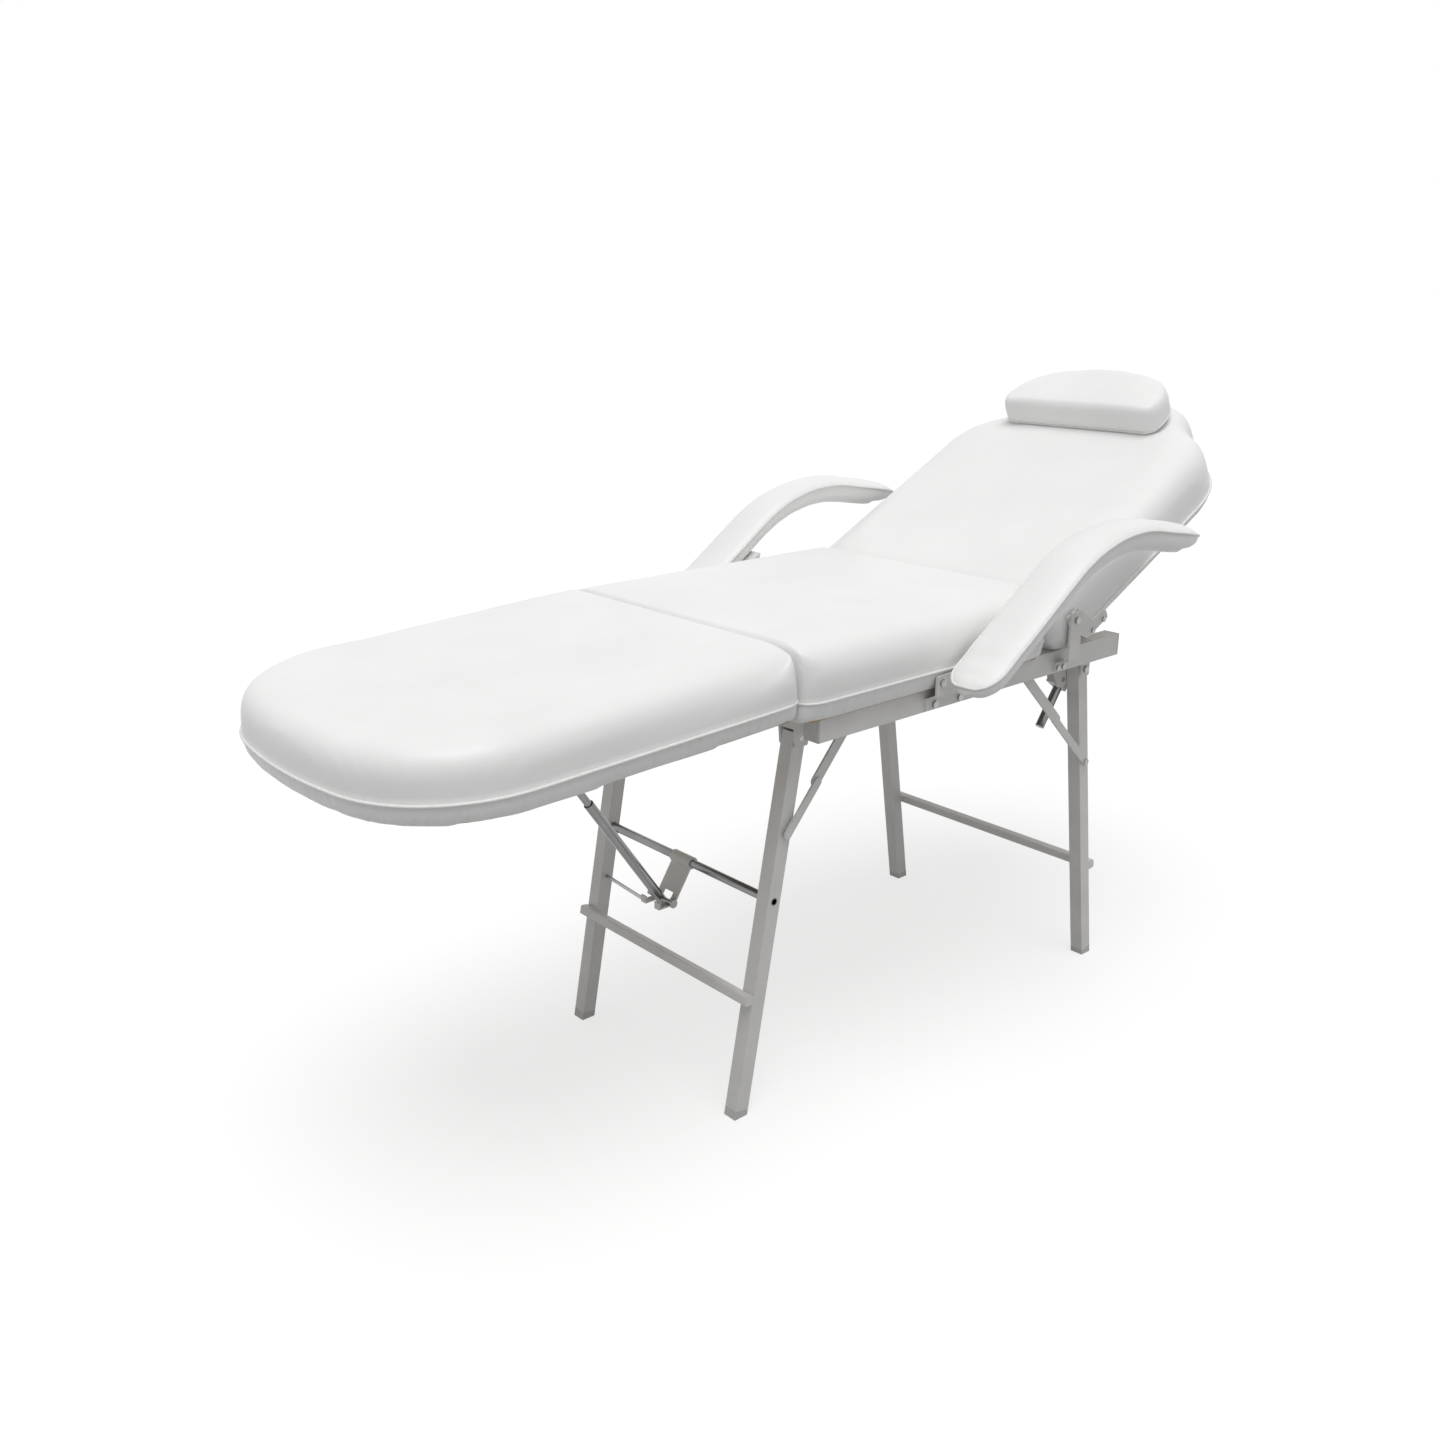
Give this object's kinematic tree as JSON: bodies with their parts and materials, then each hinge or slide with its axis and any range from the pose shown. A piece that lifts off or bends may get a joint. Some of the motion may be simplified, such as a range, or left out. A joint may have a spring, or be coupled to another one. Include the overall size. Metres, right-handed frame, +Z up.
{
  "type": "facial massage bed",
  "caption": "Folding facial treatment bed: padded seat, hinged foot rest, reclining back with loose pillow, curved padded armrests, folding tube legs with knee braces and prop struts.",
  "frame": {"origin": "on the floor under the middle of the bed's length and width", "axes": "+X along the bed to the head end, +Y to the left of a person lying on it, +Z up"},
  "size_m": [1.8345, 0.7828, 1.0673],
  "materials": {
    "white_vinyl": "satin",
    "plywood": "matt",
    "frame_paint": "satin",
    "zinc_steel": "satin",
    "bright_steel": "polished",
    "grey_plastic": "matt"
  },
  "bodies": {
    "seat_frame": {"armrest_board_left": "plywood", "armrest_board_right": "plywood", "armrest_bracket_left": "frame_paint", "armrest_bracket_right": "frame_paint", "armrest_cushion_left": "white_vinyl", "armrest_cushion_right": "white_vinyl", "back_hinge_bracket_left": "frame_paint", "back_hinge_bracket_right": "frame_paint", "back_hinge_pins": "zinc_steel", "board_screw_heads": "zinc_steel", "brace_studs": "zinc_steel", "cross_tubes": "frame_paint", "foot_hinge_rods": "zinc_steel", "foot_hinge_seat_leaves": "zinc_steel", "frame_bolts": "zinc_steel", "front_leg_lugs": "frame_paint", "guide_pins": "zinc_steel", "leg_pivot_bolts": "zinc_steel", "rail_end_caps": "grey_plastic", "rail_left": "frame_paint", "rail_right": "frame_paint", "rear_leg_lugs": "frame_paint", "seat_board": "plywood", "seat_cushion": "white_vinyl"},
    "backrest": {"back_cushion": "white_vinyl", "back_board": "plywood", "back_hinge_plate_left": "frame_paint", "back_hinge_plate_right": "frame_paint", "back_hinge_screws": "zinc_steel", "back_strut_lugs": "frame_paint"},
    "pillow": {"pillow": "white_vinyl"},
    "footrest": {"foot_cushion": "white_vinyl", "foot_board": "plywood", "foot_batten": "plywood", "foot_hinge_foot_leaves": "zinc_steel", "foot_strut_lug": "frame_paint"},
    "foot_strut_rod": {"foot_strut_rod": "bright_steel"},
    "foot_strut_tube": {"foot_strut_tube": "bright_steel", "strut_cross_pin": "bright_steel"},
    "front_legs": {"front_leg_left": "frame_paint", "front_leg_right": "frame_paint", "front_crossbar": "frame_paint", "front_foot_caps": "grey_plastic", "round_bar": "bright_steel", "strut_hook": "frame_paint", "hook_stay_rod": "zinc_steel", "front_brace_rivets": "zinc_steel"},
    "rear_legs": {"rear_leg_left": "frame_paint", "rear_leg_right": "frame_paint", "rear_crossbar": "frame_paint", "rear_foot_caps": "grey_plastic", "rear_brace_rivets": "zinc_steel"},
    "front_brace_upper": {"front_brace_upper_links": "frame_paint"},
    "front_brace_lower": {"front_brace_lower_links": "frame_paint"},
    "rear_brace_upper": {"rear_brace_upper_links": "frame_paint"},
    "rear_brace_lower": {"rear_brace_lower_links": "frame_paint"},
    "back_strut_bars": {"back_strut_bars": "bright_steel"},
    "back_strut_guides": {"back_strut_guides": "frame_paint"}
  },
  "joints": [
    {"name": "backrest_recline", "type": "hinge", "parent": "seat_frame", "child": "backrest", "pos_m": [0.33603, 0, 0.7], "axis": [0, -1, 0], "range_deg": [-27, 31]},
    {"name": "footrest_tilt", "type": "hinge", "parent": "seat_frame", "child": "footrest", "pos_m": [-0.28118, 0, 0.639], "axis": [0, -1, 0], "range_deg": [0, 30]},
    {"name": "front_leg_fold", "type": "hinge", "parent": "seat_frame", "child": "front_legs", "pos_m": [-0.21818, 0, 0.596], "axis": [0, -1, 0], "range_deg": [0, 100.64]},
    {"name": "rear_leg_fold", "type": "hinge", "parent": "seat_frame", "child": "rear_legs", "pos_m": [0.44482, 0, 0.586], "axis": [0, 1, 0], "range_deg": [0, 98.83]},
    {"name": "pillow_lift", "type": "slide", "parent": "backrest", "child": "pillow", "axis": [-0.454, 0, 0.891], "range_m": [0, 0.15]},
    {"name": "back_strut_pivot", "type": "hinge", "parent": "backrest", "child": "back_strut_bars", "pos_m": [0.49401, 0, 0.65678], "axis": [0, -1, 0], "range_deg": [-15.51, 13.51]},
    {"name": "back_guide_swivel", "type": "hinge", "parent": "seat_frame", "child": "back_strut_guides", "pos_m": [0.4269, 0, 0.56374], "axis": [0, -1, 0], "range_deg": [-13.51, 15.51]},
    {"name": "foot_strut_swing", "type": "hinge", "parent": "footrest", "child": "foot_strut_rod", "pos_m": [-0.53533, 0, 0.61389], "axis": [0, -1, 0], "range_deg": [-22.99, 0]},
    {"name": "foot_strut_slide", "type": "slide", "parent": "foot_strut_rod", "child": "foot_strut_tube", "axis": [-0.5681, 0, 0.8229], "range_m": [0, 0.12682]},
    {"name": "front_brace_upper_fold", "type": "hinge", "parent": "seat_frame", "child": "front_brace_upper", "pos_m": [-0.10418, 0, 0.612], "axis": [0, -1, 0], "range_deg": [0, 135.94]},
    {"name": "front_brace_lower_fold", "type": "hinge", "parent": "front_legs", "child": "front_brace_lower", "pos_m": [-0.24533, 0, 0.45153], "axis": [0, -1, 0], "range_deg": [-133.07, 0]},
    {"name": "rear_brace_upper_fold", "type": "hinge", "parent": "seat_frame", "child": "rear_brace_upper", "pos_m": [0.26282, 0, 0.612], "axis": [0, 1, 0], "range_deg": [0, 128.4]},
    {"name": "rear_brace_lower_fold", "type": "hinge", "parent": "rear_legs", "child": "rear_brace_lower", "pos_m": [0.4726, 0, 0.40714], "axis": [0, 1, 0], "range_deg": [-140.27, 0]}
  ],
  "couplings": [
    {"joint": "back_strut_pivot", "follows": "backrest_recline", "ratio": -0.5},
    {"joint": "back_guide_swivel", "follows": "backrest_recline", "ratio": 0.5},
    {"joint": "foot_strut_swing", "follows": "footrest_tilt", "ratio": -0.76593},
    {"joint": "foot_strut_slide", "follows": "footrest_tilt", "m_per_rad": 0.24126},
    {"joint": "front_brace_upper_fold", "follows": "front_leg_fold", "ratio": 1.3506},
    {"joint": "front_brace_lower_fold", "follows": "front_leg_fold", "ratio": -1.3221},
    {"joint": "rear_brace_upper_fold", "follows": "rear_leg_fold", "ratio": 1.2991},
    {"joint": "rear_brace_lower_fold", "follows": "rear_leg_fold", "ratio": -1.4192}
  ]
}
